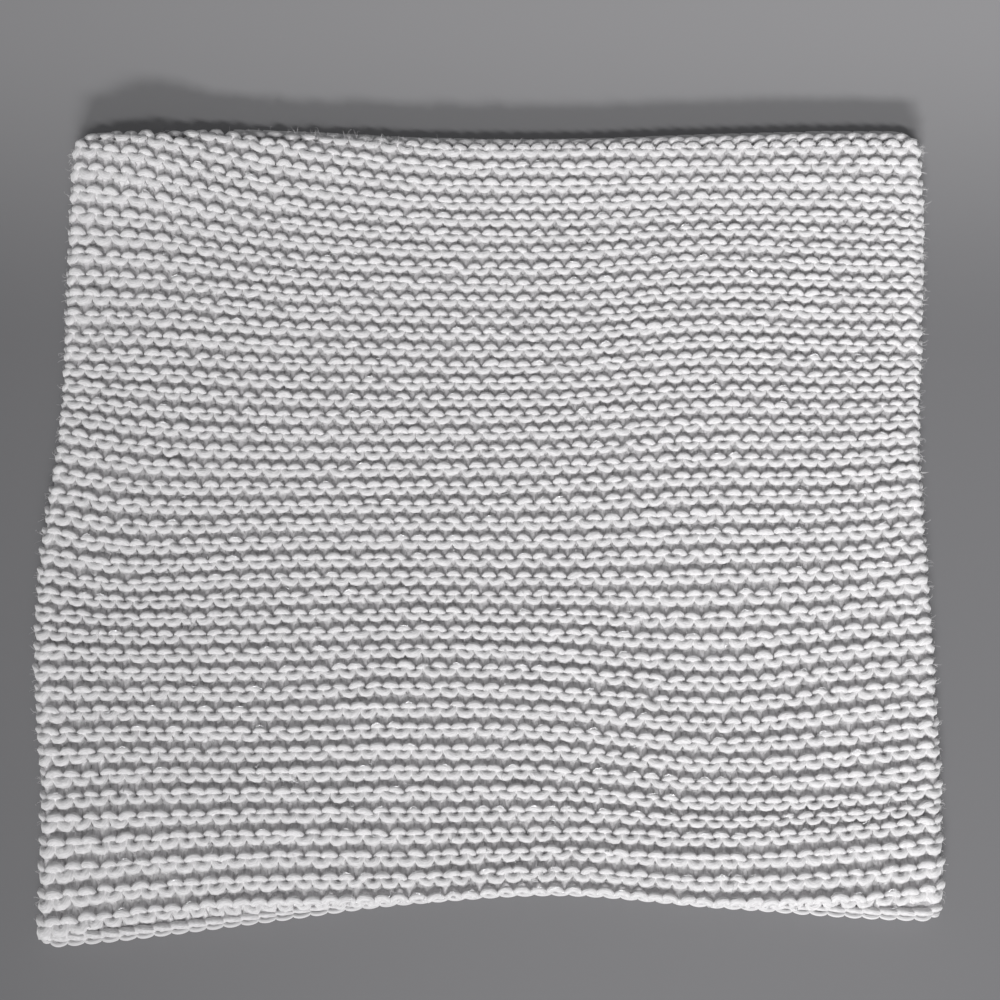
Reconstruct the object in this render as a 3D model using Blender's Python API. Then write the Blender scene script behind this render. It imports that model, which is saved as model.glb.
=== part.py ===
"""A hand-knitted infinity scarf: one tube of garter stitch, laid flat so that its front lies on its back.

The courses run from side fold to side fold. The tube is open at the top and the bottom, where a corded
edge finishes each layer. Metres, +Z up: X runs along the courses, Y from the cast-on edge to the bind-off
edge, and the back lies flat on Z = 0.
"""

import math

import bmesh
import bpy

MM = 0.001

# Driving dimensions.
COURSES = 42  # garter ridges from the cast-on edge to the bind-off edge
STITCHES = 52  # stitches from fold to fold
BACK_WALL = 4.8 * MM  # thickness of the back layer
FRONT_WALL = 4.2 * MM  # thickness of the front layer in the grooves between its ridges
RIDGE_RISE = 1.3 * MM  # a ridge's crest above the grooves
SEAM_GAP = 0.3 * MM  # between pieces that touch
FOLD_RADIUS = 4.0 * MM  # over the ridges, as the front layer turns down at a side fold
BEND_RADIUS = FOLD_RADIUS - RIDGE_RISE  # the same in the grooves
FOLD_LIP = 0.5 * MM  # short upright stretch where the two layers meet at a fold
CORD_RADIUS = 1.9 * MM  # the corded edges, at the middle of a stitch
CORD_ROOM = 2 * CORD_RADIUS + SEAM_GAP  # from the outside of an edge to the panel that it finishes
CORD_HEIGHTS = {"front": 7.0 * MM, "back": 2.1 * MM}  # their centre lines above the floor
CORD_INSET = 5.0 * MM  # from a fold to the end of a cord
CORD_NIP = 0.84  # share of the radius between two stitches
CORD_END = 0.74  # and at the two ends
CORNER_RADIUS = 9.0 * MM  # the layers' rounded corners, seen from above
EDGE_ROUNDING = 4.0 * MM  # over this distance the front layer rounds down to a finished edge
EDGE_HEIGHT = 0.4  # share of its wall that is left there

# The back layer rounds in to the floor: how far in, and how high there.
BACK_ROUNDING = ((0.0, 2.6 * MM), (1.2 * MM, 1.0 * MM), (3.6 * MM, 0.0))

# How the grid of a layer is divided. A profile gives the share of a ridge's rise at each row of a course.
FRONT_PROFILE = (0.0, 0.86, 1.0, 0.86)
BACK_PROFILE = (0.0, 1.0)
FOLD_STEPS = 3
SPANS_ACROSS = 12
SQUEEZED_COURSES = 3  # the first courses close up towards the cast-on edge
SNAP = 0.05 * MM  # the cut along the bind-off edge goes through points this near to it

# Where the tables give a height, as shares of the width from the left fold to the right fold.
STATIONS = (0.0, 0.10, 0.25, 0.42, 0.58, 0.75, 0.90, 1.0)

# The courses aren't level: each row gives one course, the X of its two folds, and its Y at the stations.
# All in millimetres.
COURSE_COLUMNS = ("course", "left", "right", "heights")
COURSE_ROWS = (
    (0.5, -152.6, 156.2, (-137.0, -132.0, -128.5, -127.0, -124.5, -128.5, -127.0, -123.5)),
    (3.5, -152.6, 156.4, (-109.5, -107.5, -105.5, -105.5, -104.5, -106.5, -104.0, -101.0)),
    (5.5, -152.8, 156.6, (-94.0, -92.0, -91.5, -91.0, -91.0, -94.5, -93.0, -89.5)),
    (11.5, -156.4, 155.2, (-50.0, -50.5, -50.5, -49.0, -50.5, -54.0, -50.0, -47.5)),
    (17.5, -155.8, 153.6, (-9.5, -13.5, -12.0, -11.5, -11.5, -10.0, -9.0, -6.0)),
    (23.5, -150.4, 152.4, (32.5, 28.0, 26.0, 26.0, 27.0, 29.5, 29.5, 31.5)),
    (29.5, -149.2, 154.0, (67.5, 66.5, 63.5, 62.0, 62.0, 65.0, 63.5, 63.5)),
    (35.5, -148.6, 155.6, (111.0, 108.0, 101.0, 97.5, 97.0, 99.5, 98.0, 97.0)),
    (38.5, -148.0, 156.0, (134.5, 129.5, 120.5, 115.0, 114.5, 116.0, 115.5, 114.0)),
    (41.5, -147.4, 155.4, (152.0, 149.5, 141.5, 134.0, 133.5, 134.0, 135.0, 135.0)),
)

# The Y of the two finished edges at the stations, in millimetres, before their corners are rounded.
CAST_ON_LINE = (-143.7, -140.7, -134.8, -128.6, -126.0, -130.0, -133.2, -134.4)
BIND_OFF_LINE = (142.0, 143.2, 142.0, 139.8, 139.4, 141.2, 142.2, 141.8)

# Soft swells in the front layer: centre, reach along X and Y, and rise. All in millimetres.
SWELL_COLUMNS = ("x", "y", "reach_x", "reach_y", "rise")
SWELL_ROWS = (
    (-110.0, 128.0, 60.0, 26.0, 1.5),
    (-120.0, 134.0, 26.0, 20.0, 4.0),
    (30.0, 132.0, 110.0, 20.0, 0.9),
    (-128.0, -20.0, 34.0, 55.0, 1.1),
    (112.0, 10.0, 40.0, 90.0, 0.9),
    (-40.0, 40.0, 60.0, 36.0, 0.7),
    (78.0, -84.0, 46.0, 40.0, 1.2),
    (-96.0, -104.0, 50.0, 30.0, 1.2),
)

FRONT_FLOOR = BACK_WALL + SEAM_GAP  # the plain inside of the front layer
FRONT_FOLD = FRONT_FLOOR + FOLD_LIP  # where the front layer has turned down all the way
YARN_COLOUR = (0.70, 0.69, 0.70, 1.0)


def smooth_curve(knots, values, at):
    """The value at a place on a Catmull-Rom curve through the values, with the end slopes carried on."""
    last = len(knots) - 1
    if at <= knots[0] or at >= knots[last]:
        end, inner = (0, 1) if at <= knots[0] else (last, last - 1)
        slope = (values[end] - values[inner]) / (knots[end] - knots[inner])
        return values[end] + slope * (at - knots[end])
    k = max(i for i in range(last) if knots[i] <= at)

    def slope_at(i):
        low, high = max(i - 1, 0), min(i + 1, last)
        return (values[high] - values[low]) / (knots[high] - knots[low])

    span = knots[k + 1] - knots[k]
    t = (at - knots[k]) / span
    return (
        (2 * t**3 - 3 * t**2 + 1) * values[k]
        + (t**3 - 2 * t**2 + t) * span * slope_at(k)
        + (3 * t**2 - 2 * t**3) * values[k + 1]
        + (t**3 - t**2) * span * slope_at(k + 1)
    )


COURSE_KNOTS = tuple(row[0] for row in COURSE_ROWS)


def column(name):
    return tuple(row[COURSE_COLUMNS.index(name)] for row in COURSE_ROWS)


def folds_at(course):
    """The X of the left and the right fold at a course."""
    return tuple(MM * smooth_curve(COURSE_KNOTS, column(side), course) for side in ("left", "right"))


def course_height(share, course):
    """The Y of a course at a share of the width."""
    heights = [smooth_curve(STATIONS, row, share) for row in column("heights")]
    return MM * smooth_curve(COURSE_KNOTS, heights, course)


def corner_drop(share, course):
    """How far a rounded corner takes the finished edge back at a share of the width."""
    left, right = folds_at(course)
    to_fold = (right - left) * min(share, 1 - share)
    inward = max(CORNER_RADIUS - max(to_fold, 0.0), 0.0)
    return CORNER_RADIUS - math.sqrt(CORNER_RADIUS**2 - inward**2)


def cast_on_edge(share):
    """The Y of the outside of the cast-on edge."""
    return MM * smooth_curve(STATIONS, CAST_ON_LINE, share) + corner_drop(share, 0)


def bind_off_edge(share):
    """The Y of the outside of the bind-off edge."""
    return MM * smooth_curve(STATIONS, BIND_OFF_LINE, share) - corner_drop(share, COURSES)


def swell(x, y):
    """How far the front layer is puffed up at a place."""
    total = 0.0
    for row in SWELL_ROWS:
        centre_x, centre_y, reach_x, reach_y, rise = (MM * value for value in row)
        total += rise * math.exp(-(((x - centre_x) / reach_x) ** 2) - ((y - centre_y) / reach_y) ** 2)
    return total


def columns_across():
    """(share of the width, distance on from there, turn of the fold) of each column of a layer's grid."""
    turns = [math.pi / 2 * (1 - k / FOLD_STEPS) for k in range(FOLD_STEPS + 1)]
    fold = [(FOLD_RADIUS - BEND_RADIUS * math.sin(turn), turn) for turn in turns]
    fold.append((CORNER_RADIUS, 0.0))
    left = [(0.0, inward, -turn) for inward, turn in fold]
    middle = [(k / SPANS_ACROSS, 0.0, 0.0) for k in range(1, SPANS_ACROSS)]
    right = [(1.0, -inward, turn) for inward, turn in reversed(fold)]
    return left + middle + right


def panel_start(share):
    """The Y where a layer starts above the cast-on edge."""
    return cast_on_edge(share) + CORD_ROOM


def panel_end(x):
    """The Y where a layer ends below the bind-off edge."""
    left, right = folds_at(COURSES)
    return bind_off_edge((x - left) / (right - left)) - CORD_ROOM


def edge_share(to_edge):
    """Share of the front layer's wall that is left at a distance from its start or end."""
    flat = 1 - min(max(to_edge, 0.0), EDGE_ROUNDING) / EDGE_ROUNDING
    return EDGE_HEIGHT + (1 - EDGE_HEIGHT) * math.sqrt(1 - flat**2)


def layer_point(column_across, course, ridge):
    """A point of the front layer's outside, where it stands a ridge's height above the grooves."""
    start_share, onward, turn = column_across
    left, right = folds_at(course)
    x = left + start_share * (right - left) + onward
    share = (x - left) / (right - left)
    start = panel_start(share)
    if course < SQUEEZED_COURSES:
        y = start + (course_height(share, SQUEEZED_COURSES) - start) * course / SQUEEZED_COURSES
    else:
        y = course_height(share, course)
    rise = FRONT_WALL - FOLD_LIP + swell(x, y) + ridge
    rise *= math.cos(turn) * edge_share(min(y - start, panel_end(x) - y))
    return x + ridge * math.sin(turn), y, FRONT_FOLD + rise


def open_layer(profile):
    """The front layer's outside as an open sheet, with its last courses cut off along the bind-off edge."""
    across = columns_across()
    rows = COURSES * len(profile)
    bm = bmesh.new()
    bmesh.ops.create_grid(bm, x_segments=len(across) - 1, y_segments=rows, size=1.0)
    for k, vert in enumerate(bm.verts):
        row, place = divmod(k, len(across))
        ridge = RIDGE_RISE * profile[row % len(profile)]
        vert.co = layer_point(across[place], row / len(profile), ridge)
    # The edge is curved, so it is drawn straight for the cut.
    for vert in bm.verts:
        vert.co.y -= panel_end(vert.co.x)
    whole = bm.verts[:] + bm.edges[:] + bm.faces[:]
    bmesh.ops.bisect_plane(bm, geom=whole, dist=SNAP, plane_no=(0, 1, 0), clear_outer=True)
    for vert in bm.verts:
        vert.co.y += panel_end(vert.co.x)
    return bm


def open_rim(bm):
    return [edge for edge in bm.edges if edge.is_boundary]


def close_rim(bm):
    """One flat face across the open rim."""
    return bmesh.ops.contextual_create(bm, geom=open_rim(bm))["faces"][0]


def drop_rim(bm, height, shrink=(1, 1)):
    """A wall from the open rim to a height, where the outline has shrunk by two factors."""
    made = bmesh.ops.extrude_edge_only(bm, edges=open_rim(bm))["geom"]
    for vert in made:
        if isinstance(vert, bmesh.types.BMVert):
            vert.co = (vert.co.x * shrink[0], vert.co.y * shrink[1], height)


def front_panel():
    """The front layer: ridged outside, plain inside."""
    bm = open_layer(FRONT_PROFILE)
    drop_rim(bm, FRONT_FLOOR)
    close_rim(bm)
    return mesh_from(bm, "front_panel")


def back_panel():
    """The back layer: the front's outline under a plain top, rounded in to a flat underside."""
    bm = open_layer(BACK_PROFILE)
    sheet = bm.faces[:]
    top = close_rim(bm)
    bmesh.ops.delete(bm, geom=sheet, context="FACES")
    for vert in top.verts:
        vert.co.z = BACK_WALL
    half_width = max(vert.co.x for vert in top.verts)
    half_depth = max(vert.co.y for vert in top.verts)
    gone_in = 0.0
    for inward, height in BACK_ROUNDING:
        step = inward - gone_in
        drop_rim(bm, height, (1 - step / half_width, 1 - step / half_depth))
        gone_in = inward
    close_rim(bm)
    return mesh_from(bm, "back_panel")


def cord(name, edge, inward, course, height, spans):
    """A corded edge from fold to fold, thinner between its stitches. Inward is +1 or -1 along Y."""
    left, right = folds_at(course)
    curve = bpy.data.curves.new(name, "CURVE")
    curve.dimensions = "3D"
    curve.bevel_depth = CORD_RADIUS
    curve.bevel_resolution = 1
    curve.use_fill_caps = True
    line = curve.splines.new("POLY")
    line.points.add(spans)
    for k, point in enumerate(line.points):
        x = left + CORD_INSET + (right - left - 2 * CORD_INSET) * k / spans
        y = edge((x - left) / (right - left)) + inward * CORD_RADIUS
        point.co = (x, y, height, 1.0)
        point.radius = CORD_NIP if k % 2 == 0 else 1.0
    for end in (line.points[0], line.points[-1]):
        end.radius = CORD_END
    return curve


def material(name, colour):
    """A plain matt wool finish."""
    made = bpy.data.materials.new(name)
    made.use_nodes = True
    shader = made.node_tree.nodes["Principled BSDF"]
    shader.inputs["Base Color"].default_value = colour
    shader.inputs["Roughness"].default_value = 0.92
    shader.inputs["Metallic"].default_value = 0.0
    made.diffuse_color = colour
    return made


def mesh_from(bm, name):
    bmesh.ops.recalc_face_normals(bm, faces=bm.faces)
    mesh = bpy.data.meshes.new(name)
    bm.to_mesh(mesh)
    bm.free()
    return mesh


def add_object(data, collection):
    """An object of the data's own name, with a finish of its own."""
    data.materials.append(material(data.name + "_wool", YARN_COLOUR))
    collection.objects.link(bpy.data.objects.new(data.name, data))


def main():
    for old in list(bpy.data.objects):
        bpy.data.objects.remove(old)
    scarf = bpy.data.collections.new("infinity_scarf")
    bpy.context.scene.collection.children.link(scarf)
    add_object(front_panel(), scarf)
    add_object(back_panel(), scarf)
    for layer, height in CORD_HEIGHTS.items():
        # The back's underside rests out of sight, so its cords have half the detail.
        spans = 2 * STITCHES if layer == "front" else STITCHES // 2
        add_object(cord("bind_off_edge_" + layer, bind_off_edge, -1, COURSES, height, spans), scarf)
        add_object(cord("cast_on_edge_" + layer, cast_on_edge, 1, 0, height, spans), scarf)


main()
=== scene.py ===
"""Knits the infinity scarf round its solids: its courses of garter stitch in yarn, its chains and its haze.

The scarf is one tube, laid flat. Each course is a looped yarn that runs over the front, round the side folds
and along the back. Metres, +Z up: X runs along the courses, Y from the cast-on edge to the bind-off edge.
"""

import math

import bmesh
import bpy
import numpy as np
from bpy.props import FloatProperty, FloatVectorProperty, IntProperty, PointerProperty
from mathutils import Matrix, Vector


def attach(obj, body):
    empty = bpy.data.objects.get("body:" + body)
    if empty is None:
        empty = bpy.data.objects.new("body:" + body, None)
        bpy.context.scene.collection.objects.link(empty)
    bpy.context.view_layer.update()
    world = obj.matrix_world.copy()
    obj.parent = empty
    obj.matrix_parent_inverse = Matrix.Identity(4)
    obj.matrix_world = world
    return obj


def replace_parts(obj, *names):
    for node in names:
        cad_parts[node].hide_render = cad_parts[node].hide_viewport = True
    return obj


bl_info = {
    "name": "Garter-Stitch Infinity Scarf",
    "version": (1, 0, 0),
    "blender": (4, 5, 0),
    "location": "3D View > Sidebar > Scarf",
    "description": "Knits an infinity scarf in yarn, with its bound edges, and sets up a studio for it",
    "category": "Add Mesh",
}

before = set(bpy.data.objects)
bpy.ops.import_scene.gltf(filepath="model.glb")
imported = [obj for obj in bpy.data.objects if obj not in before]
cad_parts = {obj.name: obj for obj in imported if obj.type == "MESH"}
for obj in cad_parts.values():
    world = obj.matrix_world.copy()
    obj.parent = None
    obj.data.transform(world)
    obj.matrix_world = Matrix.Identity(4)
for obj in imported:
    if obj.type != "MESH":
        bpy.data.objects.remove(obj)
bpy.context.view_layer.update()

MM = 0.001

# Where the tables give a height, as shares of the width from the left fold to the right fold.
STATIONS = (0.0, 0.10, 0.25, 0.42, 0.58, 0.75, 0.90, 1.0)

# The courses aren't level: each row gives one ridge, the X of its two folds, and its Y at the stations.
# All in millimetres.
COURSE_ROWS = (
    (0.5, -152.6, 156.2, (-137.0, -132.0, -128.5, -127.0, -124.5, -128.5, -127.0, -123.5)),
    (3.5, -152.6, 156.4, (-109.5, -107.5, -105.5, -105.5, -104.5, -106.5, -104.0, -101.0)),
    (5.5, -152.8, 156.6, (-94.0, -92.0, -91.5, -91.0, -91.0, -94.5, -93.0, -89.5)),
    (11.5, -156.4, 155.2, (-50.0, -50.5, -50.5, -49.0, -50.5, -54.0, -50.0, -47.5)),
    (17.5, -155.8, 153.6, (-9.5, -13.5, -12.0, -11.5, -11.5, -10.0, -9.0, -6.0)),
    (23.5, -150.4, 152.4, (32.5, 28.0, 26.0, 26.0, 27.0, 29.5, 29.5, 31.5)),
    (29.5, -149.2, 154.0, (67.5, 66.5, 63.5, 62.0, 62.0, 65.0, 63.5, 63.5)),
    (35.5, -148.6, 155.6, (111.0, 108.0, 101.0, 97.5, 97.0, 99.5, 98.0, 97.0)),
    (38.5, -148.0, 156.0, (134.5, 129.5, 120.5, 115.0, 114.5, 116.0, 115.5, 114.0)),
    (41.5, -147.4, 155.4, (152.0, 149.5, 141.5, 134.0, 133.5, 134.0, 135.0, 135.0)),
)
COURSE_KNOTS = tuple(row[0] for row in COURSE_ROWS)
LEFT_FOLDS = MM * np.array([row[1] for row in COURSE_ROWS])
RIGHT_FOLDS = MM * np.array([row[2] for row in COURSE_ROWS])
COURSE_HEIGHTS = MM * np.array([row[3] for row in COURSE_ROWS])

# The Y of the outside of the two finished edges at the stations.
CAST_ON_LINE = MM * np.array((-143.2, -140.4, -134.8, -128.6, -126.0, -130.0, -133.2, -134.4))
BIND_OFF_LINE = MM * np.array((142.0, 143.2, 142.0, 139.8, 139.4, 141.2, 142.2, 141.8))
CORNER_RADIUS = 9.0 * MM

# How far the cast-on edge is tucked under the first ridge at the stations, from 0, flat, to 1, under it.
CAST_ON_TUCK = (0.0, 0.0, 0.35, 0.95, 1.0, 0.95, 0.3, 0.0)

# Soft swells in the front layer: centre, reach along X and Y, and rise. All in millimetres.
SWELL_ROWS = MM * np.array(
    (
        (-100.0, 128.0, 60.0, 26.0, 1.0),
        (-124.0, 138.0, 20.0, 20.0, 5.0),
        (30.0, 132.0, 110.0, 20.0, 0.9),
        (-128.0, -20.0, 34.0, 55.0, 1.1),
        (112.0, 10.0, 40.0, 90.0, 0.9),
        (-40.0, 40.0, 60.0, 36.0, 0.7),
        (78.0, -84.0, 46.0, 40.0, 1.2),
        (-96.0, -104.0, 50.0, 30.0, 1.2),
    )
)

RIDGES = 42
STITCHES = 53  # from the middle of one side fold to the middle of the other
STITCH_WIDTH = 5.8 * MM  # from one stitch to the next
PITCH = 6.3 * MM  # from one ridge to the next, where the loops have their usual height
TUBE_HEIGHT = 5.05 * MM  # of the plane midway between the two layers
LAYER_RISE = 2.25 * MM  # from there to the middle of either layer
CREST = 3.3 * MM  # from the middle of a layer to the top of its ridges
FOLD_REACH = LAYER_RISE + CREST
SIDE_BEND = 4.0 * MM  # length of cloth for each radian of a side fold
TOP_BEND = 4.0 * MM  # the same where the front layer turns over the top
BACK_SQUASH = 0.84  # the back layer's ridges are pressed flat by this factor
CHAIN_RISE = 4.2 * MM  # from the middle of the last ridge to the middle of the bind-off chain
CHAIN_DROP = 2.2 * MM  # how far the cast-on chain sinks where it is tucked under
CAST_ON_INSET = 1.7 * MM  # from the outside of the cast-on edge to the middle of its chain
BACK_INSET = 1.9 * MM  # the same at the back layer's bind-off edge
TUCK_START = 0.8 * MM  # above the first ridge's middle, where the front starts to sink towards the chain
TUCK_REACH = 3.0 * MM  # from there to where it has sunk all the way
TOP_MIDDLE = 4.0 * MM  # X of the middle of the top edge
ROLL_EASE = 0.4  # share of a swell by which the front starts sooner to turn over the top
FLAP_GAP = 1.0 * MM  # from the edge of the turned-over front to the end of the back layer
LAST_COURSE_GAP = 0.3  # from the last back course to the back layer's end, at least, in courses

# Half a loop of a ridge, from the middle of what shows to the middle of what is hidden behind the next ridge.
# The columns are across, rise, out, radius, tied and free. Across is in stitches, rise is the distance in mm
# towards the loop's own side of its ridge, out is the distance in mm from the middle of the cloth, and the
# yarn's radius is in mm. Tied says how much of the rise stretches with the ridges' distance, free how much
# of the stitch's unevenness is felt.
UPPER_LOOP = (
    (0.000, 1.38, 2.35, 1.32, 0.0, 1.0),
    (0.190, 1.20, 2.27, 1.30, 0.0, 1.0),
    (0.325, 0.54, 1.75, 1.18, 0.0, 0.9),
    (0.375, -0.30, 0.70, 1.02, 0.2, 0.5),
    (0.150, -2.20, 0.50, 1.00, 0.5, 0.2),
    (0.500, -4.50, -1.20, 0.95, 1.0, 0.0),
)
LOWER_LOOP = (
    (0.000, 1.32, 2.20, 1.40, 0.0, 1.0),
    (0.200, 1.18, 2.15, 1.37, 0.0, 1.0),
    (0.308, 0.44, 2.05, 1.18, 0.0, 0.9),
    (0.318, -0.70, 1.40, 1.04, 0.2, 0.5),
    (0.335, -3.30, -0.25, 1.15, 0.9, 0.2),
    (0.500, -4.90, -0.90, 1.00, 1.0, 0.0),
)

# The rows of those tables that a loop's points take, before its middle and after it.
FRONT_STEPS = (-5, -4, -3, -2, -1, 0, 1, 2, 3, 4)
BACK_STEPS = (-5, -4, -2, 0, 2, 4)

YARN_FLATNESS = 0.6  # height of the yarn's section, pressed in the cloth, to its width
CAP_LEAN = 0.4  # how far the flat of the upper loops faces down the cloth, 1 being 45 degrees
BOWL_LEAN = 0.15  # the same of the lower loops
FIBRES_ROUND = 20.0  # round the yarn
FIBRES_A_STITCH = 9.0  # along it

# How unevenly the loops lie, each as one standard deviation.
LOOP_SHIFT = 0.045  # along the course, in stitches
LOOP_LIFT = 0.18  # up the cloth, in mm
LOOP_STAND = 0.18  # out of the cloth, in mm
LOOP_TILT = 0.9  # from end to end of a loop, in mm for each stitch
LOOP_SPREAD = 0.05  # of the loop's width
YARN_SPREAD = 0.06  # of the yarn's radius

# The wales don't stand square on the courses. Each row is a wave in how far they lean: its size in stitches,
# its turn in radians for each ridge and for each stitch, and the turn that it starts with.
WALE_WAVES = ((0.26, 0.17, 0.09, 0.0), (0.14, 0.43, -0.21, 1.3))

# The stitches at the side folds are felted into lumps, left and right over this many stitches, and over more
# of them in the lowest ridges.
LUMP_REACHES = (1.3, 1.2)
LOW_LUMP_REACHES = (1.5, 0.6)
LOW_RIDGES = 8
LUMP_RISE = 0.15  # how much taller a loop is in a lump
LUMP_SWELL = 0.35  # how much fatter its yarn is

# The legs of the chains' links. Each row gives a measure in mm at the leg's start, what it gains by the leg's
# end, and what it gains at the hump between them.
LEG_POINTS = 7
NEAR_LEG = {"rise": (-1.1, 1.5, 0.3), "out": (0.4, 0.0, 1.7), "radius": (0.55, 0.0, 0.85)}
FAR_LEG = {"rise": (2.1, -1.0, 0.0), "out": (-0.4, 0.0, 1.3), "radius": (0.55, 0.0, 0.85)}
CAST_ON_LEAF = {"rise": (1.3, -1.0, 0.4), "out": (0.1, 0.0, 1.7), "radius": (0.8, 0.0, 0.75)}
LEAF_TUCK = {"rise": 0.7, "out": 1.2, "radius": 0.6}  # what a tuck takes: shares, but for out, in mm
LOOP_TUCK = {"out": 1.4, "radius": 0.4}  # the same of the loops that lie next to the chain
LEG_START = -0.25  # from a stitch to the start of its leg, in stitches
BIND_OFF_REACH = 1.6  # from a leg's start to its end, in stitches
CAST_ON_REACH = 1.5
LEG_SHIFT = 0.03  # how unevenly the legs lie along the edge, in stitches, as one standard deviation
LEG_SPREAD = {"bind-off": 0.05, "cast-on": 0.06}  # of the legs' radius

# The ground's distance from the middle of the cloth, in mm.
GROUND_OUT = -0.1  # in the grooves
GROUND_FOLD_OUT = 2.2  # the same at a side fold
GROUND_RIDGE = 0.7  # how much further it stands out in a ridge
GROUND_FOLD_REACH = 0.9  # how far in from a fold that is felt, in stitches
GROUND_THICKNESS = 1.2 * MM

HAIR_POINTS = 4
HAIR_LENGTHS = (1.6, 6.0)  # in mm
HAIR_RADII = (0.03, 0.07)  # in mm
FILAMENT_POINTS = 5  # of each bit of the bright filament
FILAMENT_RADII = (0.11, 0.18)  # in mm

CAMERA_PLACE = Vector((4.75, -36.1, 506.9)) * MM
CAMERA_AIM = Vector((4.75, 9.2, 9.0)) * MM
CAMERA_LENS, CAMERA_SENSOR = 51.8, 36.0  # in mm
LIGHT_DISTANCE = 2.0
LIGHT_AIM = Vector((0.45, 0.35, 0.0))
LIGHT_SIZE = (0.9, 0.2)
LIGHT_SPREAD = 60.0  # in degrees
LOW_LIGHT_ELEVATION = 32.0
HIGH_LIGHT_ELEVATION = 57.0


def spline_weights(knots, at):
    """A row for each place: what each knot's value counts for on a Catmull-Rom curve through the knots."""
    knots = np.asarray(knots, float)
    at = np.asarray(at, float).ravel()
    last = len(knots) - 1
    each = np.eye(last + 1)
    low, high = np.maximum(np.arange(last + 1) - 1, 0), np.minimum(np.arange(last + 1) + 1, last)
    slopes = (each[high] - each[low]) / (knots[high] - knots[low])[:, None]
    inside = np.clip(at, knots[0], knots[last])
    k = np.clip(np.searchsorted(knots, inside, side="right") - 1, 0, last - 1)
    span = knots[k + 1] - knots[k]
    t = ((inside - knots[k]) / span)[:, None]
    span = span[:, None]
    weights = (2 * t**3 - 3 * t**2 + 1) * each[k] + (3 * t**2 - 2 * t**3) * each[k + 1]
    weights += (t**3 - 2 * t**2 + t) * span * slopes[k] + (t**3 - t**2) * span * slopes[k + 1]
    return weights + (at - inside)[:, None] * np.where((at < knots[0])[:, None], slopes[0], slopes[last])


def folds_at(course):
    """The X of the two side folds at a course."""
    weights = spline_weights(COURSE_KNOTS, course)
    return weights @ LEFT_FOLDS, weights @ RIGHT_FOLDS


def corner_drop(share, width):
    """How far a rounded corner takes a finished edge back."""
    to_fold = np.maximum(np.minimum(share, 1 - share) * width, 0)
    inward = np.maximum(CORNER_RADIUS - to_fold, 0)
    return CORNER_RADIUS - np.sqrt(CORNER_RADIUS**2 - inward**2)


def bind_off_edge(share, width):
    """The Y of the outside of the bind-off edge."""
    return spline_weights(STATIONS, share) @ BIND_OFF_LINE - corner_drop(share, width)


def cast_on_cord(share, width):
    """The Y of the middle of the cast-on chain."""
    return spline_weights(STATIONS, share) @ CAST_ON_LINE + corner_drop(share, width) + CAST_ON_INSET


def roll_start(share, width):
    """Where the front starts to turn over the top: further in where the cloth is puffed up."""
    edge = bind_off_edge(share, width) - FOLD_REACH
    return edge - ROLL_EASE * swell((share - 0.5) * width + TOP_MIDDLE, edge)


def edge_tuck(share):
    """How far the cast-on edge is tucked under, from 0 to 1."""
    return spline_weights(STATIONS, np.clip(share, 0, 1)) @ np.array(CAST_ON_TUCK)


def swell(x, y):
    """How far the front is puffed up at a place."""
    total = np.zeros_like(x)
    for centre_x, centre_y, reach_x, reach_y, rise in SWELL_ROWS:
        total += rise * np.exp(-(((x - centre_x) / reach_x) ** 2) - ((y - centre_y) / reach_y) ** 2)
    return total


def course_height(share, course):
    """The Y of a course on the flat cloth. Below the first ridge it closes up to the cast-on chain."""
    across = spline_weights(STATIONS, share)
    along = spline_weights(COURSE_KNOTS, np.maximum(course, COURSE_KNOTS[0]))
    height = np.einsum("nk,km,nm->n", along, COURSE_HEIGHTS, across)
    left, right = folds_at(np.zeros(1))
    start = cast_on_cord(share, right[0] - left[0])
    to_start = np.clip(1 - course / COURSE_KNOTS[0], 0, 1.5)
    return height + to_start * (start - height)


def ridge_stretch(share, course):
    """The distance of the ridges, as a share of the usual one."""
    inner = np.clip(course, 1.0, RIDGES - 1.0)
    return (course_height(share, inner + 0.5) - course_height(share, inner - 0.5)) / PITCH


def loop_growth(stretch):
    """Loops are squeezed where the ridges crowd, and open up where they part."""
    return np.where(stretch < 1, stretch**0.8, stretch**0.9)


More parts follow.
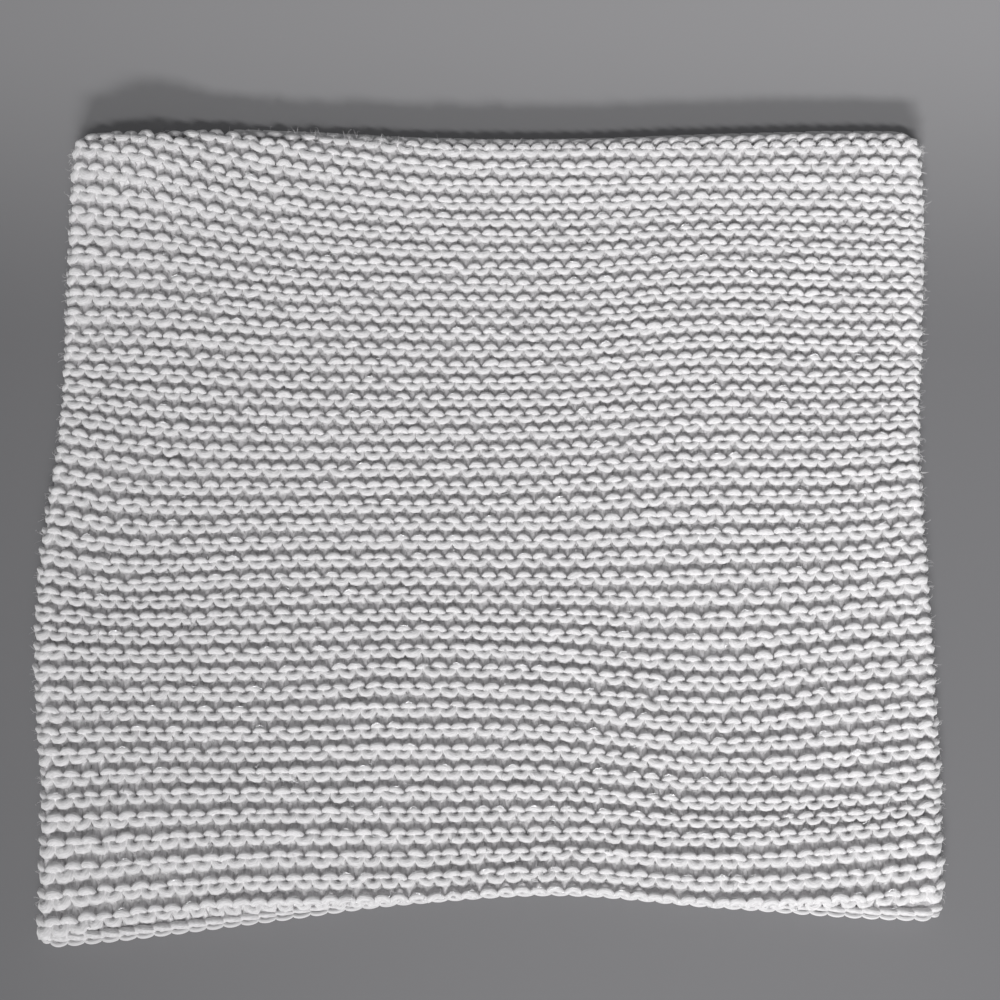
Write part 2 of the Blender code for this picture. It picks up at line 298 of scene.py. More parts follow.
def lay(stitch, course, rise, tied, out, side):
    """Points on or over the laid scarf, an array of them.

    A stitch is counted from the left fold and a course from the cast-on edge. Rise is a further distance
    towards the bind-off edge, of which the share tied stretches with the ridges. Out is the distance outwards
    from the middle of the cloth. The side is 1 on the front and -1 on the back.
    """
    left, right = folds_at(course)
    width = right - left
    quarter = SIDE_BEND * math.pi / 2
    flat = width - 2 * FOLD_REACH
    place = stitch / STITCHES * (flat + 2 * quarter)
    from_left, to_right = place - quarter, place - quarter - flat
    turn = np.minimum(from_left, 0) / SIDE_BEND + np.maximum(to_right, 0) / SIDE_BEND
    middle = left + FOLD_REACH + np.clip(from_left, 0, flat)
    x = middle + (LAYER_RISE + out) * np.sin(turn)
    share = np.clip((middle + LAYER_RISE * np.sin(turn) - left) / width, 0, 1)
    stretch = ridge_stretch(share, course)
    grown = loop_growth(stretch)
    y = course_height(share, course) + rise * (grown + tied * (stretch - grown))
    cord = cast_on_cord(share, width)
    y = np.where(course > 0.4, np.maximum(y, cord), y)
    up = (LAYER_RISE + out) * np.cos(turn)
    if side < 0:
        return np.stack((x, y, TUBE_HEIGHT - up), axis=1)
    # The cast-on edge is tucked in under the first ridge.
    tuck = edge_tuck(share)
    first_ridge = course_height(share, np.full_like(share, 0.5))
    below = np.clip((first_ridge + TUCK_START - y) / TUCK_REACH, 0, 1)
    up = up - CHAIN_DROP * tuck * below**2 * (3 - 2 * below)
    # The top of the front turns over and runs on underneath.
    start = roll_start(share, width)
    beyond = np.maximum(y - start, 0)
    roll = np.minimum(beyond / TOP_BEND, math.pi)
    under = np.maximum(beyond - math.pi * TOP_BEND, 0)
    up = up - out * (1 - BACK_SQUASH) * (1 - np.cos(roll)) / 2
    lifted = swell(x, y) * np.maximum(np.cos(turn), 0) * (1 + np.cos(roll)) / 2
    y = np.minimum(y, start) + up * np.sin(roll) - under
    return np.stack((x, y, TUBE_HEIGHT + up * np.cos(roll) + lifted), axis=1)


def back_end(share, width):
    """The Y where the back layer ends: at its own finished edge, or short of the turned-over front."""
    own = bind_off_edge(share, width) - BACK_INSET
    start = roll_start(share, width)
    beyond = course_height(share, np.full_like(share, RIDGES - 0.5)) + CHAIN_RISE - start
    flap = start - (beyond - math.pi * TOP_BEND)
    return np.where(beyond > math.pi * TOP_BEND, np.minimum(own, flap - FLAP_GAP), own)


def last_back_course(share):
    """The course that the back layer ends on."""
    courses = np.linspace(RIDGES - 12.0, RIDGES + 2.0, 57)
    left, right = folds_at(np.array([float(RIDGES)]))
    grid_share, grid_course = np.meshgrid(share, courses, indexing="ij")
    heights = course_height(grid_share.ravel(), grid_course.ravel()).reshape(grid_share.shape)
    ends = back_end(share, right[0] - left[0])
    return np.array([np.interp(end, line, courses) for end, line in zip(ends, heights)])


class ScarfKnitting(bpy.types.PropertyGroup):
    yarn_size: FloatProperty(
        name="Yarn Size", description="Scales the yarn's thickness", default=1.0, min=0.5, max=1.5
    )
    unevenness: FloatProperty(
        name="Unevenness", description="How unevenly the stitches lie", default=1.0, min=0.0, max=3.0
    )
    hairs: IntProperty(name="Hairs", description="Loose fibres that stand off the yarn", default=6000, min=0)
    sparkles: IntProperty(name="Sparkles", description="Bits of bright filament", default=580, min=0)
    seed: IntProperty(name="Seed", description="Of everything that is drawn at random", default=7)


class ScarfWool(bpy.types.PropertyGroup):
    colour: FloatVectorProperty(
        name="Wool", description="The yarn's colour", default=(0.9, 0.885, 0.895), size=3, subtype="COLOR"
    )
    sparkle_colour: FloatVectorProperty(
        name="Filament",
        description="The bright filament's colour",
        default=(0.97, 0.97, 0.98),
        size=3,
        subtype="COLOR",
    )


class ScarfStudio(bpy.types.PropertyGroup):
    # The two floor colours are painted shade in front of the scarf and painted light behind it, not the
    # floor's own colour.
    near_floor_painted_shade: FloatVectorProperty(
        name="Near Floor",
        description="The floor's colour before the scarf",
        default=(0.21, 0.208, 0.216),
        size=3,
        subtype="COLOR",
    )
    far_floor_painted_light: FloatVectorProperty(
        name="Far Floor",
        description="The floor's colour behind the scarf",
        default=(0.37, 0.365, 0.375),
        size=3,
        subtype="COLOR",
    )
    low_power: FloatProperty(
        name="Low Light", description="Power of the low strip light", default=4.0, unit="POWER"
    )
    high_power: FloatProperty(
        name="High Light", description="Power of the high strip light", default=2.35, unit="POWER"
    )
    room: FloatProperty(name="Room Light", description="Strength of the light from all round", default=0.18)


def plain_material(name, colour, roughness, metallic=0.0):
    """One colour all over."""
    made = bpy.data.materials.new(name)
    made.use_nodes = True
    shader = made.node_tree.nodes["Principled BSDF"]
    shader.inputs["Base Color"].default_value = (*colour, 1.0)
    shader.inputs["Roughness"].default_value = roughness
    shader.inputs["Metallic"].default_value = metallic
    return made


def add_fibres(made, place, scale, edges, colour, tints):
    """Mottles a material by a noise, from one tint of the colour to the other. Returns the noise."""
    nodes, links = made.node_tree.nodes, made.node_tree.links
    fibre = nodes.new("ShaderNodeTexNoise")
    fibre.inputs["Scale"].default_value = scale
    fibre.inputs["Detail"].default_value = 2.0
    links.new(place, fibre.inputs["Vector"])
    ramp = nodes.new("ShaderNodeValToRGB")
    for stop, edge, tint in zip(ramp.color_ramp.elements, edges, tints):
        stop.position = edge
        stop.color = (*(min(tint * channel, 1.0) for channel in colour), 1.0)
    links.new(fibre.outputs["Fac"], ramp.inputs["Fac"])
    links.new(ramp.outputs["Color"], nodes["Principled BSDF"].inputs["Base Color"])
    return fibre


def wool_material(name, colour, along):
    """Soft wool, mottled and slightly raised by its fibres. Along counts them from end to end of a strand."""
    made = plain_material(name, colour, 0.95)
    nodes, links = made.node_tree.nodes, made.node_tree.links
    shader = nodes["Principled BSDF"]
    shader.inputs["Specular IOR Level"].default_value = 0.2
    shader.inputs["Sheen Weight"].default_value = 1.0
    shader.inputs["Sheen Roughness"].default_value = 0.6
    place = nodes.new("ShaderNodeTexCoord")
    strand = nodes.new("ShaderNodeMapping")
    strand.inputs["Scale"].default_value = (along, FIBRES_ROUND, 0.0)
    links.new(place.outputs["UV"], strand.inputs["Vector"])
    # The height up the cloth is the noise's third axis, so that no two courses are mottled alike.
    course = nodes.new("ShaderNodeMapping")
    course.inputs["Scale"].default_value = (0.0, 200.0, 0.0)
    course.inputs["Rotation"].default_value = (math.pi / 2, 0.0, 0.0)
    links.new(place.outputs["Object"], course.inputs["Vector"])
    spot = nodes.new("ShaderNodeVectorMath")
    links.new(strand.outputs["Vector"], spot.inputs[0])
    links.new(course.outputs["Vector"], spot.inputs[1])
    fibre = add_fibres(made, spot.outputs["Vector"], 1.0, (0.36, 0.62), colour, (0.81, 1.01))
    bump = nodes.new("ShaderNodeBump")
    bump.inputs["Strength"].default_value = 0.5
    bump.inputs["Distance"].default_value = 0.5 * MM
    links.new(fibre.outputs["Fac"], bump.inputs["Height"])
    links.new(bump.outputs["Normal"], shader.inputs["Normal"])
    return made


def felt_material_painted_light(name, colour):
    """The wool of the ground, which has no one direction, mottled at random and painted lighter than the yarn
    as light in the grooves.
    """
    made = plain_material(name, colour, 0.95)
    nodes = made.node_tree.nodes
    nodes["Principled BSDF"].inputs["Sheen Weight"].default_value = 0.5
    place = nodes.new("ShaderNodeTexCoord")
    # Tints above the yarn's own: painted light that lifts the shade in the grooves between the loops.
    add_fibres(made, place.outputs["Object"], 1500.0, (0.38, 0.62), colour, (0.92, 1.1))
    return made


def floor_material_painted_shade(near, far):
    """Matt floor whose colour is painted shade in front of the scarf and painted light behind it."""
    made = plain_material("floor_painted_shade_and_light", near, 0.6)
    nodes, links = made.node_tree.nodes, made.node_tree.links
    place = nodes.new("ShaderNodeTexCoord")
    axes = nodes.new("ShaderNodeSeparateXYZ")
    links.new(place.outputs["Object"], axes.inputs["Vector"])
    # Painted shade over the floor in front of and round the scarf, fading into painted light beyond its top
    # edge.
    reach = nodes.new("ShaderNodeMapRange")
    reach.interpolation_type = "SMOOTHSTEP"
    reach.inputs["From Min"].default_value = 0.06
    reach.inputs["From Max"].default_value = 0.2
    links.new(axes.outputs["Y"], reach.inputs["Value"])
    painted_shade_ramp = nodes.new("ShaderNodeValToRGB")
    painted_shade_ramp.color_ramp.elements[0].color = (*near, 1.0)
    painted_shade_ramp.color_ramp.elements[1].color = (*far, 1.0)
    links.new(reach.outputs["Result"], painted_shade_ramp.inputs["Fac"])
    links.new(painted_shade_ramp.outputs["Color"], nodes["Principled BSDF"].inputs["Base Color"])
    return made


def wale_drift(stitch, ridge):
    """How far a stitch leans to the right of its place, in stitches."""
    return sum(size * np.sin(up * ridge + across * stitch + turn) for size, up, across, turn in WALE_WAVES)


def fold_lump(stitch, ridge):
    """How much a stitch is felted into the lumps along the side folds, from 0 to 1."""
    low = math.exp(-((ridge / LOW_RIDGES) ** 2))
    left_reach, right_reach = (reach + more * low for reach, more in zip(LUMP_REACHES, LOW_LUMP_REACHES))
    left, right = stitch / left_reach, (STITCHES - stitch) / right_reach
    return (0.7 + 0.3 * low) * (np.exp(-(left**2)) + np.exp(-(right**2)))


def course_path(ridge, upper, side, knitting):
    """The yarn of one course over one side: its points, its radii, and the ways the cloth faces there."""
    rng = np.random.default_rng((knitting.seed, ridge, int(upper), side + 1))
    rows = np.array(UPPER_LOOP if upper else LOWER_LOOP)
    steps = np.array(FRONT_STEPS if side > 0 else BACK_STEPS)
    first, count = (-1, STITCHES + 2) if side > 0 else (1, STITCHES - 2)
    centre = np.repeat(first + np.arange(count) + (0.0 if upper else 0.5), len(steps))
    across, rise, out, radius, tied, free = np.tile(rows[np.abs(steps)].T, count)
    across = across * np.tile(np.sign(steps), count)
    loops = rng.normal(0, 1, (5, count)).clip(-2.2, 2.2) * knitting.unevenness
    shift, lift, stand, size, tilt = np.repeat(loops, len(steps), axis=1) * free
    stitch = centre + across * (1 + LOOP_SPREAD * size) + LOOP_SHIFT * shift + wale_drift(centre, ridge)
    lump = fold_lump(stitch, ridge) * free
    rise = (rise * (1 + LUMP_RISE * lump) + LOOP_LIFT * lift) * (1 if upper else -1)
    rise = (rise + LOOP_TILT * tilt * across) * MM
    out = (out + LOOP_STAND * stand) * MM
    course = np.full_like(stitch, ridge + 0.5)
    growth = loop_growth(ridge_stretch(np.clip(stitch / STITCHES, 0, 1), course))
    radius = radius * MM * (1 + YARN_SPREAD * size) * (1 + LUMP_SWELL * lump) * growth * knitting.yarn_size
    if ridge == 0 and not upper:
        # The lowest loops are drawn in under the chain.
        tuck = edge_tuck(stitch / STITCHES)
        out = out - LOOP_TUCK["out"] * MM * tuck
        radius = radius * (1 - LOOP_TUCK["radius"] * tuck)
    if side < 0:
        out, radius = out * BACK_SQUASH, radius * BACK_SQUASH
    points = lay(stitch, course, rise, tied, out, side)
    lean = CAP_LEAN if upper else BOWL_LEAN
    facing = lay(stitch, course, rise - lean * MM, tied, out + MM, side) - points
    return points, radius, facing / np.linalg.norm(facing, axis=1, keepdims=True)


def add_yarn(curve, points, radius):
    """Adds a strand of yarn to a curve. Nothing sinks into the floor."""
    points[:, 2] = np.maximum(points[:, 2], radius)
    line = curve.splines.new("POLY")
    line.points.add(len(points) - 1)
    line.points.foreach_set("co", np.column_stack((points, np.ones(len(points)))).astype(np.float32).ravel())
    line.points.foreach_set("radius", radius.astype(np.float32))


def unpicked_runs(points, course, shares, ends):
    """Those runs of a course's points that lie below the back layer's end."""
    share = np.clip((points[:, 0] - points[:, 0].min()) / np.ptp(points[:, 0]), 0, 1)
    kept = course < np.interp(share, shares, ends) - LAST_COURSE_GAP
    turns = np.flatnonzero(np.diff(np.concatenate(([0], kept.astype(int), [0]))))
    runs = [slice(first, last) for first, last in zip(turns[::2], turns[1::2])]
    return [run for run in runs if run.stop - run.start >= len(BACK_STEPS)]


def press_yarn(mesh, facings):
    """Presses the yarn's round section flatter against the cloth, whose facing is given for each point.

    The mesh has the strands' closed ends first, from the last strand to the first, and then the strands.
    """
    ends = [end for facing in reversed(facings) for end in (facing[-1], facing[0])]
    facing = np.concatenate((ends, *facings))
    points = np.zeros(3 * len(mesh.vertices), np.float32)
    mesh.vertices.foreach_get("co", points)
    rings = points.reshape(len(facing), -1, 3)
    off = rings - rings.mean(axis=1, keepdims=True)
    height = np.einsum("ijk,ik->ij", off, facing)
    rings -= (1 - YARN_FLATNESS) * height[:, :, None] * facing[:, None, :]
    mesh.vertices.foreach_set("co", rings.ravel())


def arch(row, turn):
    """A measure along a leg of a link, in metres."""
    start, gain, hump = row
    return (start + gain * turn + hump * np.sin(math.pi * turn)) * MM


def bind_off_leg(link, row, side, rng):
    """One leg of a link of the bind-off chain: it rises, swells and dives under the next link."""
    turn = np.linspace(0, 1, LEG_POINTS)
    along = link + LEG_START + BIND_OFF_REACH * turn + LEG_SHIFT * rng.normal()
    along = np.clip(along, -0.3, STITCHES + 0.3)
    rise, out = arch(row["rise"], turn), arch(row["out"], turn)
    radius = arch(row["radius"], turn) * (1 + LEG_SPREAD["bind-off"] * rng.normal())
    if side > 0:
        course = np.full_like(along, RIDGES - 0.5)
        return lay(along, course, rise + CHAIN_RISE, 0.0, out, side), radius
    ends = last_back_course(np.clip(along / STITCHES, 0, 1))
    return lay(along, ends, rise, 0.0, out * BACK_SQUASH, side), radius


def cast_on_strands(side, rng):
    """The two strands of the cast-on chain: a row of fat leaves, and thin scallops under them."""
    strands = []
    turn = np.linspace(0, 1, LEG_POINTS)
    squash = 1 if side > 0 else BACK_SQUASH
    for link in range(-1, STITCHES + 1):
        along = link + LEG_START + CAST_ON_REACH * turn + LEG_SHIFT * rng.normal()
        along = np.clip(along, -0.5, STITCHES + 0.5)
        tuck = edge_tuck(along / STITCHES) if side > 0 else 0 * along
        rise = arch(CAST_ON_LEAF["rise"], turn) * (1 - LEAF_TUCK["rise"] * tuck)
        out = arch(CAST_ON_LEAF["out"], turn) - LEAF_TUCK["out"] * MM * tuck
        radius = arch(CAST_ON_LEAF["radius"], turn) * (1 - LEAF_TUCK["radius"] * tuck)
        radius = radius * (1 + LEG_SPREAD["cast-on"] * rng.normal())
        strands.append((lay(along, np.zeros_like(along), rise, 0.0, out * squash, side), radius))
    along = np.arange(-0.5, STITCHES + 0.51, 1 / 8)
    hump = np.abs(np.sin(math.pi * along)) ** 0.7
    rise = (-0.2 - 0.6 * hump) * MM
    out = (0.6 + 0.7 * hump) * MM
    radius = (0.7 + 0.1 * hump) * MM
    strands.append((lay(along, np.zeros_like(along), rise, 0.0, out * squash, side), radius))
    return strands


def new_curve(name, resolution):
    """A curve with a round section of radius 1, which each point's own radius scales."""
    curve = bpy.data.curves.new(name, "CURVE")
    curve.dimensions = "3D"
    curve.bevel_depth = 1.0
    curve.bevel_resolution = resolution
    curve.use_fill_caps = True
    return curve


def yarn_piece(name, curve, material, facings=None):
    """The curve made a mesh piece of the scarf, its yarn pressed flatter where facings are given."""
    drawn = bpy.data.objects.new(name + "_path", curve)
    bpy.context.scene.collection.objects.link(drawn)
    graph = bpy.context.evaluated_depsgraph_get()
    mesh = bpy.data.meshes.new_from_object(drawn.evaluated_get(graph))
    bpy.data.objects.remove(drawn)
    bpy.data.curves.remove(curve)
    mesh.name = name
    if facings:
        press_yarn(mesh, facings)
    return add_piece(name, mesh, material)


def add_piece(name, mesh, material):
    """Adds a finished mesh to the scarf."""
    mesh.materials.clear()
    mesh.materials.append(material)
    piece = bpy.data.objects.new(name, mesh)
    bpy.context.scene.collection.objects.link(piece)
    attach(piece, "root")
    return piece


class SCARF_OT_ground(bpy.types.Operator):
    """Lays the thin ground of the cloth, one tube that shows only between the loops"""

    bl_idname = "scarf.ground"
    bl_label = "Ground"

    def execute(self, context):
        bm = bmesh.new()
        bmesh.ops.create_grid(bm, x_segments=2 * STITCHES, y_segments=3 * RIDGES, size=0.5)
        points = np.array([vert.co for vert in bm.verts])
        round_tube, up_cloth = 2 * (points[:, 0] + 0.5), points[:, 1] + 0.5
        round_tube = round_tube - 0.6 * np.sin(2 * math.pi * round_tube) / (2 * math.pi)  # finer at the folds
        stitch = round_tube * STITCHES
        back = stitch > STITCHES
        stitch = np.where(back, 2 * STITCHES - stitch, stitch)
        share = np.clip(stitch / STITCHES, 0, 1)
        columns, which = np.unique(np.round(share, 6), return_inverse=True)
        course = np.where(back, up_cloth * last_back_course(columns)[which], up_cloth * RIDGES)
        ridge = 0.5 - 0.5 * np.cos(2 * math.pi * course)
        at_fold = np.exp(-((np.minimum(stitch, STITCHES - stitch) / GROUND_FOLD_REACH) ** 2))
        out = (GROUND_OUT + (GROUND_FOLD_OUT - GROUND_OUT) * at_fold + GROUND_RIDGE * ridge) * MM
        still = np.zeros_like(stitch)
        front_points = lay(stitch, course, still, still, out, 1)
        back_points = lay(stitch, course, still, still, out * BACK_SQUASH, -1)
        at_edge = (share < 1e-6) | (share > 1 - 1e-6)
        placed = np.where((back & ~at_edge)[:, None], back_points, front_points)
        for vert, point in zip(bm.verts, placed):
            vert.co = point
        bmesh.ops.remove_doubles(bm, verts=bm.verts, dist=0.02 * MM)
        bmesh.ops.recalc_face_normals(bm, faces=bm.faces)
        mesh = bpy.data.meshes.new("ground")
        bm.to_mesh(mesh)
        bm.free()
        mesh.shade_smooth()
        # The ground's wool is painted lighter than the yarn, as light in the grooves.
        piece = add_piece("ground", mesh, felt_material_painted_light("ground_wool_painted_light", context.scene.scarf_wool.colour))
        wall = piece.modifiers.new("wall", "SOLIDIFY")
        wall.thickness = GROUND_THICKNESS
        wall.offset = -1.0
        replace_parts(piece, "front_panel", "back_panel")
        return {"FINISHED"}


class SCARF_OT_front_knitting(bpy.types.Operator):
    """Knits the front layer's courses in yarn, round both side folds"""

    bl_idname = "scarf.front_knitting"
    bl_label = "Front Knitting"

    def execute(self, context):
        wool = wool_material("front_wool", context.scene.scarf_wool.colour, FIBRES_A_STITCH * STITCHES)
        for number, ridges in enumerate(np.array_split(np.arange(RIDGES), 4), start=1):
            name = f"front_knitting_{number}"
            curve = new_curve(name, 1)
            facings = []
            for ridge in ridges:
                for upper in (True, False):
                    points, radius, facing = course_path(int(ridge), upper, 1, context.scene.scarf_knitting)
                    add_yarn(curve, points, radius)
                    facings.append(facing)
            yarn_piece(name, curve, wool, facings)
        return {"FINISHED"}


class SCARF_OT_back_knitting(bpy.types.Operator):
    """Knits the back layer's courses in yarn, up to the edge of the turned-over front"""

    bl_idname = "scarf.back_knitting"
    bl_label = "Back Knitting"

    def execute(self, context):
        wool = wool_material("back_wool", context.scene.scarf_wool.colour, FIBRES_A_STITCH * STITCHES)
        shares = np.linspace(0, 1, STITCHES + 1)
        ends = last_back_course(shares)
        for number, ridges in enumerate(np.array_split(np.arange(RIDGES), 2), start=1):
            name = f"back_knitting_{number}"
            curve = new_curve(name, 0)
            for ridge in ridges:
                for upper in (True, False):
                    points, radius, _ = course_path(int(ridge), upper, -1, context.scene.scarf_knitting)
                    for run in unpicked_runs(points, int(ridge) + 0.5, shares, ends):
                        add_yarn(curve, points[run], radius[run])
            yarn_piece(name, curve, wool)
        return {"FINISHED"}


class SCARF_OT_finished_edges(bpy.types.Operator):
    """Works the chains of the cast-on and bind-off edges, front and back"""

    bl_idname = "scarf.finished_edges"
    bl_label = "Finished Edges"

    def execute(self, context):
        wool = wool_material("edge_wool", context.scene.scarf_wool.colour, FIBRES_A_STITCH)
        rng = np.random.default_rng(context.scene.scarf_knitting.seed + 100)
        for side, layer in ((1, "front"), (-1, "back")):
            cast_on = new_curve(f"cast_on_chain_{layer}", 1)
            for strand in cast_on_strands(side, rng):
                add_yarn(cast_on, *strand)
            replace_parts(yarn_piece(cast_on.name, cast_on, wool), f"cast_on_edge_{layer}")
            bind_off = new_curve(f"bind_off_chain_{layer}", 1)
            for link in range(STITCHES):
                for row in (NEAR_LEG, FAR_LEG):
                    add_yarn(bind_off, *bind_off_leg(link, row, side, rng))
            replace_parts(yarn_piece(bind_off.name, bind_off, wool), f"bind_off_edge_{layer}")
        return {"FINISHED"}


class SCARF_OT_haze(bpy.types.Operator):
    """Scatters the loose fibres that stand off the yarn"""

    bl_idname = "scarf.haze"
    bl_label = "Haze"

    def execute(self, context):
        knitting = context.scene.scarf_knitting
        rng = np.random.default_rng(knitting.seed + 200)
        count = knitting.hairs
        turn = np.linspace(0, 1, HAIR_POINTS)
        stitch, ridge = rng.uniform(-0.5, STITCHES + 0.5, count), rng.uniform(0.2, RIDGES - 0.1, count)
        # Half of them stand off along an edge: the left fold, the right fold or the top.
        edge = rng.integers(0, 6, count)
        at_edge = edge < 3
        stitch = np.where(edge == 0, rng.uniform(-0.9, 0.3, count), stitch)
        stitch = np.where(edge == 1, STITCHES + rng.uniform(-0.3, 0.9, count), stitch)
        ridge = np.where(edge == 2, rng.uniform(RIDGES - 0.7, RIDGES + 0.1, count), ridge)
        heading = rng.uniform(0, 2 * math.pi, count)[:, None] + rng.normal(0, 1.2, count)[:, None] * turn
        step = (rng.uniform(*HAIR_LENGTHS, count) * np.where(at_edge, 0.5, 1.0))[:, None] / HAIR_POINTS
        course = np.minimum(np.floor(ridge), RIDGES - 1) + 0.5
        rise = (ridge - course) * PITCH / MM
        ridge_top = np.maximum(3.2 - 0.35 * rise**2, 0.2)
        bow = rng.uniform(0.0, 1.2, count)[:, None]
        lift = (rng.uniform(-0.3, 0.8, count) + np.where(at_edge, rng.uniform(0.0, 2.4, count), 0.0))[:, None]
        out = ridge_top[:, None] - 0.3 + bow * np.sin(math.pi * turn) + lift * turn
        along = stitch[:, None] + np.cumsum(np.cos(heading) * step, axis=1) * MM / STITCH_WIDTH
        rises = rise[:, None] + np.cumsum(np.sin(heading) * step, axis=1)
        radius = rng.uniform(*HAIR_RADII, count)[:, None] * (1.1 - 0.6 * turn)
        curve = new_curve("haze", 0)
        section = self.fibre_section()
        curve.bevel_mode, curve.bevel_object = "OBJECT", section
        courses = np.repeat(course, HAIR_POINTS)
        points = lay(along.ravel(), courses, rises.ravel() * MM, 0.0, out.ravel() * MM, 1)
        for hair, thickness in zip(points.reshape(count, HAIR_POINTS, 3), radius * MM):
            add_yarn(curve, hair, thickness)
        yarn_piece("haze", curve, plain_material("loose_fibre", context.scene.scarf_wool.colour, 0.9))
        bpy.data.curves.remove(section.data)
        return {"FINISHED"}

    @staticmethod
    def fibre_section():
        """A fibre is so thin that three sides do."""
        section = bpy.data.curves.new("fibre_section", "CURVE")
        ring = section.splines.new("POLY")
        ring.points.add(2)
        ring.use_cyclic_u = True
        for point, turn in zip(ring.points, (0, 1, 2)):
            point.co = (math.cos(turn * math.tau / 3), math.sin(turn * math.tau / 3), 0.0, 1.0)
        holder = bpy.data.objects.new("fibre_section", section)
        bpy.context.scene.collection.objects.link(holder)
        return holder


class SCARF_OT_sparkles(bpy.types.Operator):
    """Scatters short bits of the bright filament that runs with the yarn"""

    bl_idname = "scarf.sparkles"
    bl_label = "Sparkles"

    def execute(self, context):
        knitting = context.scene.scarf_knitting
        rng = np.random.default_rng(knitting.seed + 300)
        curve = new_curve("sparkles", 0)
        for _ in range(knitting.sparkles):
            ridge = min(int(RIDGES * rng.beta(0.65, 1.3)), RIDGES - 1)
            stitch = float(rng.integers(1, STITCHES))
            stitch += float(wale_drift(stitch, ridge))
            over_a_crown = rng.random() < 0.6
            along, rise, out = self.crown_bit(rng) if over_a_crown else self.loose_bit(rng)
            points = lay(stitch + along, np.full(FILAMENT_POINTS, ridge + 0.5), rise * MM, 0.0, out * MM, 1)
            add_yarn(curve, points, np.full(FILAMENT_POINTS, rng.uniform(*FILAMENT_RADII) * MM))
        filament = plain_material("filament", context.scene.scarf_wool.sparkle_colour, 0.25, 0.3)
        yarn_piece("sparkles", curve, filament)
        return {"FINISHED"}

    @staticmethod
    def crown_bit(rng):
        """Filament that lies over the crown of an upper loop."""
        along = np.linspace(-0.26, 0.2, FILAMENT_POINTS) + rng.normal(0, 0.04)
        rise = 2.25 - 9.0 * along**2 + rng.normal(0, 0.16, FILAMENT_POINTS)
        return along, rise, 3.15 - 7.0 * along**2 + rng.normal(0, 0.08, FILAMENT_POINTS)

    @staticmethod
    def loose_bit(rng):
        """A squiggle of filament in the groove or against a loop."""
        turn = np.linspace(0, 1, FILAMENT_POINTS)
        heading = rng.uniform(0, 2 * math.pi) + rng.normal(0, 2.0) * turn
        step = rng.uniform(1.5, 4.0) / FILAMENT_POINTS
        rise = rng.choice((-3.0, 3.0)) + rng.normal(0, 0.5) + np.cumsum(np.sin(heading)) * step
        along = rng.uniform(-0.5, 0.5) + np.cumsum(np.cos(heading)) * step * MM / STITCH_WIDTH
        return along, rise, np.maximum(3.4 - 0.2 * rise**2, 1.2) + 0.6 * np.sin(math.pi * turn)


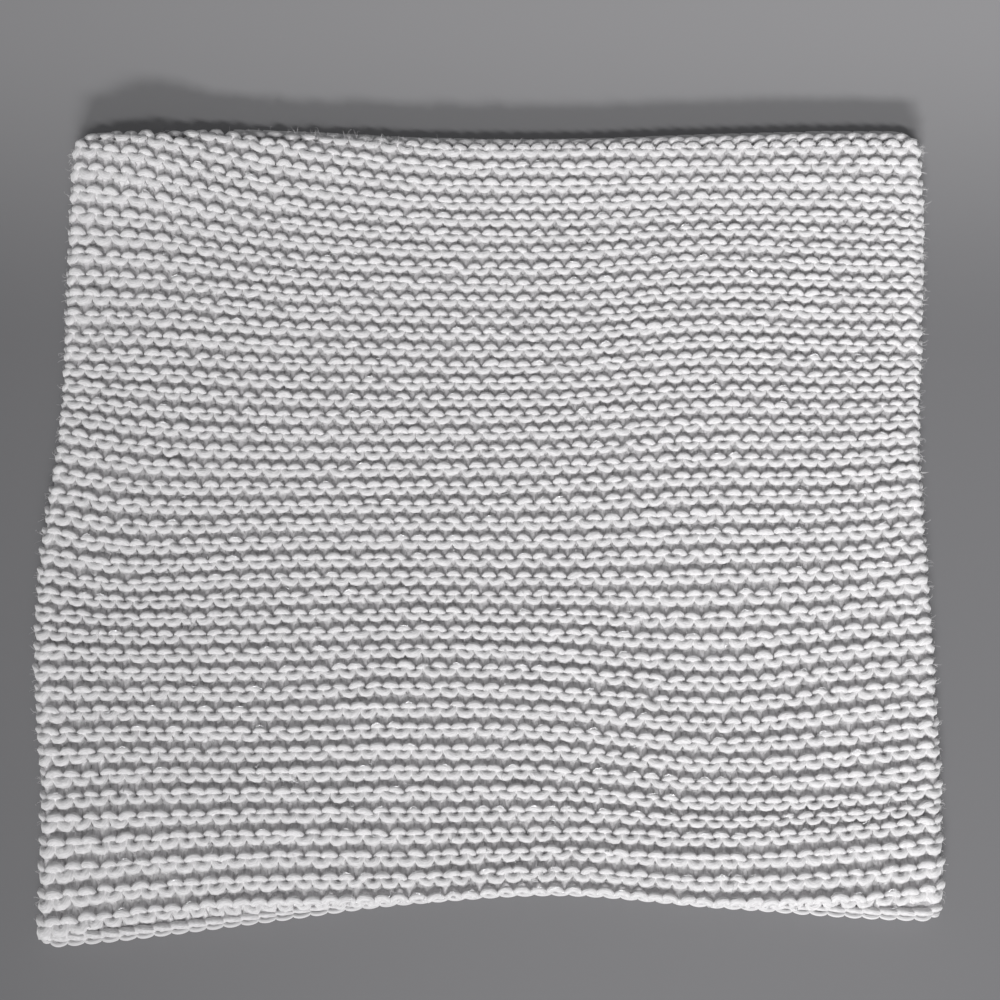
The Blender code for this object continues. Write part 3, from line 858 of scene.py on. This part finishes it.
class SCARF_OT_studio(bpy.types.Operator):
    """Sets the floor, the lights and the camera"""

    bl_idname = "scarf.studio"
    bl_label = "Studio"

    def execute(self, context):
        studio = context.scene.scarf_studio
        bm = bmesh.new()
        bmesh.ops.create_grid(bm, x_segments=1, y_segments=1, size=2.0)
        mesh = bpy.data.meshes.new("floor")
        bm.to_mesh(mesh)
        bm.free()
        # The floor's colours paint shade in front of the scarf and light behind it.
        mesh.materials.append(floor_material_painted_shade(studio.near_floor_painted_shade, studio.far_floor_painted_light))
        floor = bpy.data.objects.new("floor", mesh)
        context.scene.collection.objects.link(floor)

        camera = bpy.data.cameras.new("camera")
        camera.lens = CAMERA_LENS
        camera.sensor_width = CAMERA_SENSOR
        holder = bpy.data.objects.new("camera", camera)
        context.scene.collection.objects.link(holder)
        holder.location = CAMERA_PLACE
        holder.rotation_euler = (CAMERA_AIM - CAMERA_PLACE).to_track_quat("-Z", "Y").to_euler()
        context.scene.camera = holder

        self.strip_light("low_light", studio.low_power, LOW_LIGHT_ELEVATION)
        self.strip_light("high_light", studio.high_power, HIGH_LIGHT_ELEVATION)

        world = bpy.data.worlds.new("room")
        world.use_nodes = True
        background = world.node_tree.nodes["Background"]
        background.inputs["Color"].default_value = (0.97, 0.98, 1.0, 1.0)
        background.inputs["Strength"].default_value = studio.room
        context.scene.world = world
        context.scene.view_settings.view_transform = "Standard"
        return {"FINISHED"}

    @staticmethod
    def strip_light(name, power, elevation):
        """A soft box that stands before the cast-on edge and looks past the bind-off edge."""
        light = bpy.data.lights.new(name, "AREA")
        light.shape = "RECTANGLE"
        light.size, light.size_y = LIGHT_SIZE
        light.spread = math.radians(LIGHT_SPREAD)
        light.energy = power
        holder = bpy.data.objects.new(name, light)
        up = math.radians(elevation)
        holder.location = LIGHT_DISTANCE * Vector((0.0, -math.cos(up), math.sin(up)))
        holder.rotation_euler = (LIGHT_AIM - holder.location).to_track_quat("-Z", "Y").to_euler()
        bpy.context.scene.collection.objects.link(holder)


class SCARF_PT_panel(bpy.types.Panel):
    """Lists the scarf's pieces in the order they are made"""

    bl_idname = "SCARF_PT_panel"
    bl_label = "Infinity Scarf"
    bl_space_type = "VIEW_3D"
    bl_region_type = "UI"
    bl_category = "Scarf"

    def draw(self, context):
        for setting, group in SETTINGS.items():
            box = self.layout.box()
            for name in group.__annotations__:
                box.prop(getattr(context.scene, setting), name)
        for operator in OPERATORS:
            self.layout.operator(operator.bl_idname)


OPERATORS = (
    SCARF_OT_ground,
    SCARF_OT_front_knitting,
    SCARF_OT_back_knitting,
    SCARF_OT_finished_edges,
    SCARF_OT_haze,
    SCARF_OT_sparkles,
    SCARF_OT_studio,
)
SETTINGS = {"scarf_knitting": ScarfKnitting, "scarf_wool": ScarfWool, "scarf_studio": ScarfStudio}
CLASSES = (*SETTINGS.values(), *OPERATORS, SCARF_PT_panel)


def register():
    for cls in CLASSES:
        bpy.utils.register_class(cls)
    for name, group in SETTINGS.items():
        setattr(bpy.types.Scene, name, PointerProperty(type=group))


def unregister():
    for name in SETTINGS:
        delattr(bpy.types.Scene, name)
    for cls in reversed(CLASSES):
        bpy.utils.unregister_class(cls)


def declare_cloth():
    """Gathers the yarn pieces, the knitting, the chains, the haze and the sparkles, and does nothing more
    with them.
    """
    pieces = [piece for piece in bpy.context.scene.objects if piece.type == "MESH"]
    yarn = [piece for piece in pieces if "knitting" in piece.name or "chain" in piece.name]
    yarn += [bpy.data.objects["haze"], bpy.data.objects["sparkles"]]


def main():
    register()
    bpy.ops.scarf.ground()
    bpy.ops.scarf.front_knitting()
    bpy.ops.scarf.back_knitting()
    bpy.ops.scarf.finished_edges()
    bpy.ops.scarf.haze()
    bpy.ops.scarf.sparkles()
    bpy.ops.scarf.studio()
    declare_cloth()


if __name__ == "__main__":
    main()
